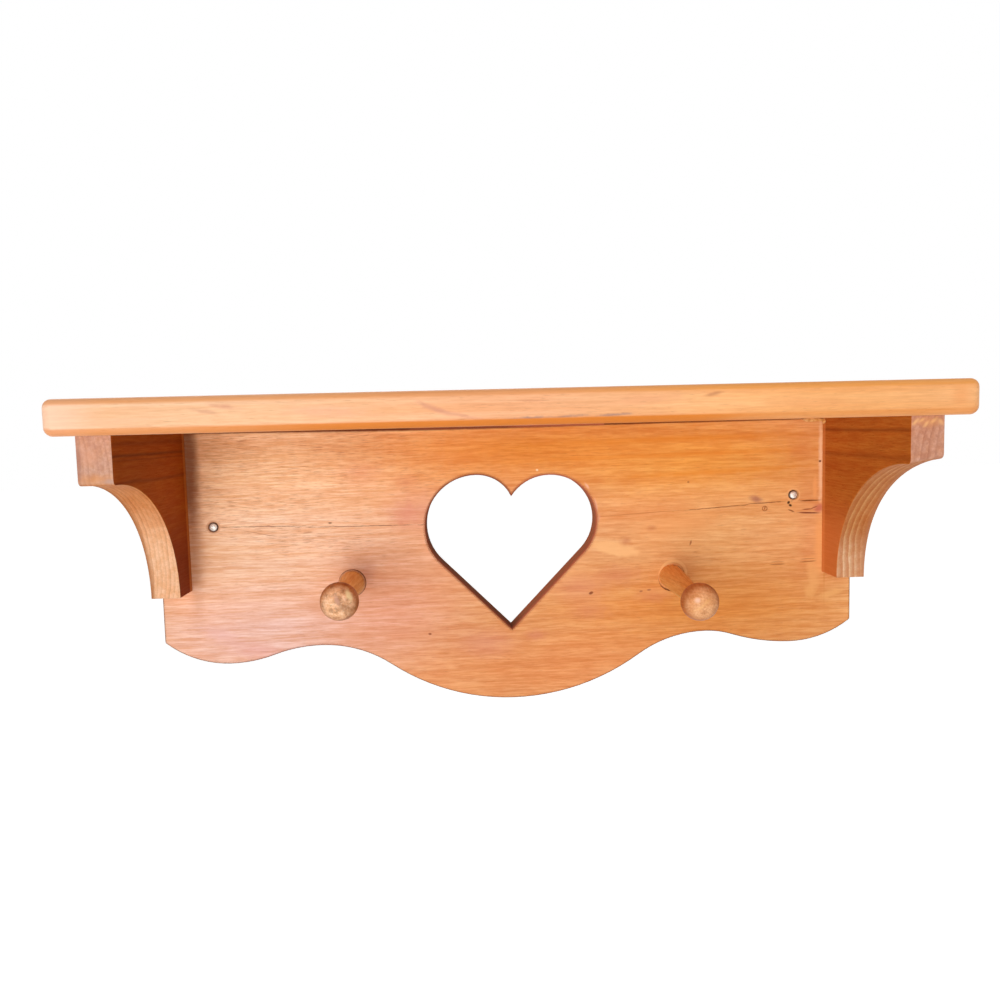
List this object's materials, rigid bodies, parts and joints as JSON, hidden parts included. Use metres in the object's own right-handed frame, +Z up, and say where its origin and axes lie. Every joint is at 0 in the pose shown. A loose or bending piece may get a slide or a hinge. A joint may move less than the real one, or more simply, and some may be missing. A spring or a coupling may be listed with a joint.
{
  "type": "shaker peg rail with shelf",
  "caption": "Stained pine wall shelf on coved brackets, with a scalloped back board pierced by a heart and turned pegs for hanging.",
  "frame": {"origin": "on the wall, on the shelf's centre line, level with the underside of the shelf, where the back board starts", "axes": "+X along the shelf to the viewer's right, +Y into the wall, +Z up"},
  "size_m": [0.484, 0.184, 0.2082],
  "materials": {
    "shelf_wood": "stained and waxed pine",
    "board_wood": "stained and waxed pine",
    "bracket_wood": "stained and waxed pine with sawn end grain",
    "peg_wood": "turned, stained and waxed hardwood",
    "wall_screw_steel": "bright zinc plate",
    "hidden_steel": "plain steel",
    "wood_filler": "dried wood filler"
  },
  "bodies": {
    "root": {"shelf_board": "shelf_wood", "back_board": "board_wood", "left_bracket": "bracket_wood", "right_bracket": "bracket_wood", "left_peg": "peg_wood", "right_peg": "peg_wood", "wall_screws": "wall_screw_steel", "bracket_screws": "hidden_steel", "bracket_nails": "hidden_steel", "back_nails": "hidden_steel", "nail_filler": "wood_filler"}
  },
  "joints": []
}
